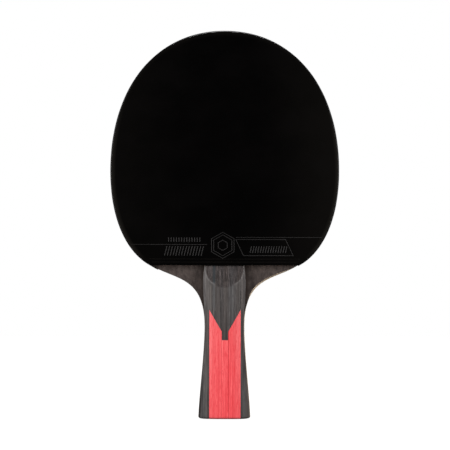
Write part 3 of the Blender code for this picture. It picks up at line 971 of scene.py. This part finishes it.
def dark_handle_wood(name, shift, streaks=()):
    """Dark grey-brown veneers, darker down at the butt and on the flanks, with painted shade low on the
    sides where they meet the blade. The scoop is darker, and its rim has a painted highlight.
    """
    look, colour = dyed_wood(name, DARK_WOOD, shift)
    tints = look.noise((330, 90, 5), 1.0, shift + 11.0)
    colour = look.mix(look.spread(tints, 0.52, 0.68, 0.0, 0.35), colour, BLUISH_WOOD)
    colour = look.mix(look.spread(tints, 0.34, 0.46, 0.3, 0.0), colour, BROWNISH_WOOD)
    across = look.axis("X")
    rise = look.axis("Z")
    dashes = look.noise((1500, 300, 75), 1.0, shift + 13.0)
    colour = look.mix(look.spread(dashes, 0.64, 0.72, 0.0, 0.55), colour, DARK_DASH)
    scooped = look.painted("scooped")
    flank = look.spread(look.math("ABSOLUTE", across), *FLANK_REACH)
    # darker in the scoop
    colour = look.mix(scooped, colour, SCOOP_DARKENING, "MULTIPLY")
    lines = look.spread(look.noise((1500, 260, 24), 2.0, shift + 17.0, 0.7), 0.32, 0.68, 0.45, 1.55, False)
    colour = look.mix(look.math("MAXIMUM", scooped, flank), colour, lines, "MULTIPLY")
    for place, half, low, high, strength, tone in streaks:
        wide = look.band(across, place, half, STREAK_SOFTNESS[0])
        tall = look.band(rise, (low + high) / 2, (high - low) / 2, STREAK_SOFTNESS[1])
        share = look.math("MULTIPLY", look.math("MULTIPLY", wide, tall), strength)
        colour = look.mix(share, colour, tone)
    # painted highlight along the scoop's rim, over its rubbed wood
    colour = look.mix(look.math("MULTIPLY", look.painted("rim_highlight"), 0.55), colour, RUBBED_RIM_HIGHLIGHT)
    colour = look.mix(look.spread(rise, *BUTT_REACH), colour, BUTT_SHADE, "MULTIPLY")
    colour = look.mix(flank, colour, FLANK_SHADE, "MULTIPLY")
    from_middle = look.math("ABSOLUTE", look.math("SUBTRACT", across, INLAY["middle"]))
    joint = look.band(from_middle, INLAY["half"] + JOINT_STAIN / 2, JOINT_STAIN / 2, JOINT_STAIN / 2)
    below = look.spread(rise, INLAY["point"] + JOINT_STAIN_FADE, INLAY["point"] - JOINT_STAIN_FADE)
    colour = look.mix(look.math("MULTIPLY", joint, below), colour, JOINT_SHADE, "MULTIPLY")
    # painted shade low on the sides, where the handle meets the blade
    height = look.math("ABSOLUTE", look.axis("Y"))
    look.colour(look.mix(look.spread(height, *EDGE_SHADE_HEIGHT, 0.8, 0.0), colour, SHADED_EDGE))
    return look.material


def red_handle_wood(name, shift, seam=None):
    """Bright red veneers, a little pinker upwards and at both sides. A seam is where glue soaked in."""
    look, colour = dyed_wood(name, RED_WOOD, shift)
    pink = 0.0
    for axis, start, end, share in PINK_PLACES:
        pink = look.math("ADD", pink, look.spread(look.axis(axis), start, end, 0.0, share))
    colour = look.mix(pink, colour, PINK_WOOD)
    dashes = look.noise((1500, 300, 230), 2.0, shift + 13.0)
    colour = look.mix(look.spread(dashes, 0.54, 0.66, 0.0, 0.65), colour, RED_DASH)
    if seam is not None:
        colour = look.mix(look.band(look.axis("X"), seam, *SEAM_SIZE), colour, SEAM_WOOD)
    look.colour(colour)
    return look.material


def bare_wood(name, colours, grain):
    """Undyed wood of a ply: pale, with darker year rings along its grain, which is x or z."""
    dark, pale = colours
    look = Look(name, 0.62, 0.3)
    scale = (900, 2600, 14) if grain == "z" else (14, 2600, 900)
    fine = (3200, 5200, 90) if grain == "z" else (90, 5200, 3200)
    rings = look.noise(scale, 2.0)
    fibres = look.noise(fine, 3.0, 2.0)
    colour = look.mix(look.spread(rings, 0.38, 0.62), dark, pale)
    colour = look.mix(look.spread(fibres, 0.5, 0.7, 0.0, 0.35), colour, dark)
    look.colour(colour)
    look.roughness(look.spread(fibres, 0.3, 0.7, 0.55, 0.72))
    look.bumps((fibres, 0.3, 0.04 * MM))
    return look.material


def face_wood():
    """The blade's dark face veneer, mottled and with open pores, and a painted shadow beside the handle.
    Where it is sanded through it is bare.
    """
    look = Look("face_wood", 0.5, 0.3)
    mottle = look.noise((300, 300, 190), 4.0, 1.0, 0.65)
    grain = look.noise((1150, 900, 260), 3.0, 2.0, 0.6)
    pores = look.noise((3300, 2400, 1500), 1.0, 4.0)
    flecks = look.noise((1900, 2400, 1300), 2.0, 6.0)
    colour = look.mix(look.spread(mottle, 0.36, 0.64), FACE_WOOD[0], FACE_WOOD[1])
    colour = look.mix(look.spread(grain, 0.42, 0.68, 0.0, 0.55), colour, FACE_WOOD[2])
    colour = look.mix(look.spread(pores, 0.58, 0.70, 0.0, 0.6), colour, FACE_WOOD[0])
    colour = look.mix(look.spread(flecks, 0.60, 0.72, 0.0, 0.5), colour, FACE_FLECK)
    # painted contact shadow beside the handle
    beside = look.math("ABSOLUTE", look.axis("X"))
    colour = look.mix(look.spread(beside, *CONTACT_SHADOW_REACH, 0.85, 0.0), colour, CONTACT_SHADOW)
    normal = look.add("NewGeometry").outputs["Normal"]
    facing = look.math("ABSOLUTE", look.add("SeparateXYZ", {0: normal}).outputs["Y"])
    colour = look.mix(look.spread(facing, *BARE_FACING), BARE_EDGE, colour)
    look.colour(colour)
    look.roughness(look.spread(grain, 0.3, 0.7, 0.45, 0.6))
    look.bumps((grain, 0.3, 0.05 * MM), (pores, 0.4, -0.05 * MM))
    return look.material


def fibre():
    """Woven fibre in dark resin."""
    look = Look("fibre", 0.35, 0.5)
    warp, weft = (look.math("SINE", look.math("MULTIPLY", look.axis(axis), FIBRE_WEAVE)) for axis in "XZ")
    weave = look.math("MULTIPLY", warp, weft)
    strands = look.noise((7000, 3000, 7000), 1.0)
    colour = look.mix(look.spread(weave, -1.0, 1.0), FIBRE[0], FIBRE[1])
    look.colour(look.mix(look.spread(strands, 0.5, 0.7, 0.0, 0.4), colour, FIBRE[2]))
    look.bumps((weave, 0.4, 0.05 * MM))
    return look.material


def rubber(name, colours, specular, painted_sheen=None):
    """Smooth rubber with a fine haze and a few specks of dust.

    A sheet has a painted sheen, a lighter colour towards its sides and rim, and its pimples just show
    through.
    """
    deep, usual, dust = colours
    look = Look(name, 0.28, specular)
    haze = look.noise((38, 38, 52), 3.0)
    skin = look.noise((5200, 5200, 5200), 2.0, 1.0)
    specks = look.noise((2100, 2100, 2100), 0.0, 5.0)
    turns = 2 * math.pi / PIMPLE_PITCH
    waves = 0.0
    for angle in (0, 60, 120):
        across = look.math("MULTIPLY", look.axis("X"), turns * math.cos(math.radians(angle)))
        along = look.math("MULTIPLY", look.axis("Z"), turns * math.sin(math.radians(angle)))
        waves = look.math("ADD", waves, look.math("COSINE", look.math("ADD", across, along)))
    colour = look.mix(look.spread(haze, 0.35, 0.65), deep, usual)
    colour = look.mix(look.spread(specks, 0.76, 0.80, 0.0, 0.5), colour, dust)
    look.roughness(look.spread(haze, 0.3, 0.7, 0.25, 0.30))
    if painted_sheen is None:
        look.bumps((skin, 0.15, 0.02 * MM))
    else:
        look.bumps((waves, 0.12, 0.012 * MM), (skin, 0.15, 0.02 * MM))
        # painted sheen, lighter at the rim and towards the sides
        share = look.painted("painted_sheen")
        for name, hand in HANDS:
            beside = look.math("MULTIPLY", look.axis("X"), hand)
            share = look.math("MAXIMUM", share, look.spread(beside, *SHEEN_REACH, 0.0, SHEEN_SHARES[name]))
        colour = look.mix(share, colour, painted_sheen)
    look.colour(colour)
    return look.material


def foam():
    """Sponge with small open cells."""
    look = Look("sponge", 0.9, 0.2)
    inputs = {"Vector": look.stretched((3600, 3600, 3600)), "Scale": 1.0}
    cells = look.add("TexVoronoi", inputs).outputs["Distance"]
    patches = look.noise((300, 300, 300), 2.0)
    colour = look.mix(look.spread(cells, 0.05, 0.5), SPONGE[0], SPONGE[1])
    look.colour(look.mix(look.spread(patches, 0.4, 0.7, 0.0, 0.4), colour, SPONGE[2]))
    look.bumps((cells, 0.7, 0.12 * MM))
    return look.material


def tape():
    """Matt black tape with a fine cloth rib and rubbed patches."""
    look = Look("edge_tape", 0.5, 0.35)
    rib = look.math("SINE", look.math("MULTIPLY", look.axis("Y"), 2 * math.pi / TAPE_RIB))
    rubbed = look.noise((120, 500, 120), 3.0)
    fine = look.noise((4200, 4200, 4200), 2.0, 3.0)
    colour = look.mix(look.spread(rubbed, 0.4, 0.7), TAPE[0], TAPE[1])
    look.colour(look.mix(look.spread(fine, 0.6, 0.75, 0.0, 0.4), colour, TAPE[2]))
    look.roughness(look.spread(rubbed, 0.3, 0.7, 0.42, 0.6))
    look.bumps((rib, 0.25, 0.02 * MM), (fine, 0.3, 0.03 * MM))
    return look.material


def all_looks():
    """Every material by its name, with one for each handle strip so that no two share their grain."""
    looks = {
        "core_wood": bare_wood("core_wood", CORE_WOOD, "z"),
        "inner_wood": bare_wood("inner_wood", INNER_WOOD, "x"),
        "fibre": fibre(),
        "face_wood": face_wood(),
        "sponge": foam(),
        "edge_tape": tape(),
    }
    for name, settings in RUBBERS.items():
        looks[name] = rubber(name, *settings)
    shift = 1.0
    for side, _ in SIDES:
        for name in ("top_block", "outer_strip_left", "outer_strip_right"):
            key = f"dark_handle_wood_{side}_{name}"
            looks[key] = dark_handle_wood(key, shift, STREAKS if key.endswith("front_top_block") else ())
            shift += GRAIN_SHIFT
        for name in ("red_centre_strip", "red_strip_left", "red_strip_right"):
            key = f"red_handle_wood_{side}_{name}"
            seam = INLAY["middle"] + INLAY["stem"] if name == "red_strip_right" else None
            looks[key] = red_handle_wood(key, shift, seam)
            shift += GRAIN_SHIFT
    return looks


# -------- stage


def from_centre(azimuth, elevation, distance):
    """A point round the paddle. Azimuth 0 is in front of the black rubber and 90 to its right."""
    turn = math.radians(azimuth)
    rise = math.radians(elevation)
    away = Vector((math.sin(turn) * math.cos(rise), -math.cos(turn) * math.cos(rise), math.sin(rise)))
    return CENTRE + away * distance


def add_camera():
    """A long lens, level with the middle of the paddle and square to it."""
    data = bpy.data.cameras.new("camera")
    data.lens = CAMERA_LENS
    data.sensor_width = CAMERA_SENSOR
    camera = bpy.data.objects.new("camera", data)
    bpy.context.scene.collection.objects.link(camera)
    data.shift_x, data.shift_y = CAMERA_SHIFT
    camera.location = from_centre(0, 0, CAMERA_DISTANCE)
    camera.rotation_euler = (math.radians(90), CAMERA_ROLL, 0)
    bpy.context.scene.camera = camera


def add_softbox(name, azimuth, elevation, distance, width, height, power):
    """A soft lamp aimed at the paddle."""
    data = bpy.data.lights.new(name, "AREA")
    data.shape = "RECTANGLE"
    data.size = width
    data.size_y = height
    data.energy = power
    lamp = bpy.data.objects.new(name, data)
    bpy.context.scene.collection.objects.link(lamp)
    lamp.location = from_centre(azimuth, elevation, distance)
    lamp.rotation_euler = (CENTRE - lamp.location).to_track_quat("-Z", "Y").to_euler()
    lamp.visible_camera = False


def add_lights():
    """Tall softboxes at both sides in front, one high behind and one overhead."""
    for lamp in LAMPS:
        add_softbox(*lamp)


def add_world():
    """White where the camera looks past the paddle, and dim for everything that mirrors it."""
    world = bpy.data.worlds.new("world")
    world.use_nodes = True
    tree = world.node_tree
    background = tree.nodes["Background"]
    background.inputs["Color"].default_value = (1, 1, 1, 1)
    path = tree.nodes.new("ShaderNodeLightPath")
    shade = tree.nodes.new("ShaderNodeMapRange")
    shade.inputs["To Min"].default_value = WORLD_GLOW
    shade.inputs["To Max"].default_value = 1.0
    tree.links.new(path.outputs["Is Camera Ray"], shade.inputs["Value"])
    tree.links.new(shade.outputs["Result"], background.inputs["Strength"])
    bpy.context.scene.world = world
    bpy.context.scene.view_settings.view_transform = "Standard"


def add_floor():
    """A plain pale floor under the butt, bright enough to stay white."""
    bm = bmesh.new()
    bmesh.ops.create_circle(bm, cap_ends=True, segments=96, radius=FLOOR_RADIUS)
    mesh = bpy.data.meshes.new("floor")
    bm.to_mesh(mesh)
    bm.free()
    look = Look("floor", 0.8, 0.2)
    look.colour(FLOOR_GREY)
    look.surface.inputs["Emission Color"].default_value = (1, 1, 1, 1)
    look.surface.inputs["Emission Strength"].default_value = FLOOR_GLOW
    mesh.materials.append(look.material)
    floor = bpy.data.objects.new("floor", mesh)
    bpy.context.scene.collection.objects.link(floor)
    floor.location.z = cad_box[0].z - FLOOR_GAP
    floor.visible_glossy = False
    floor.visible_diffuse = False
    floor.visible_shadow = False


def build():
    """Everything, from the blade outwards."""
    looks = all_looks()
    add_blade(looks)
    add_sponges(looks)
    add_rubbers(looks)
    add_tape(looks)
    add_handle(looks)
    add_camera()
    add_lights()
    add_world()
    add_floor()


build()
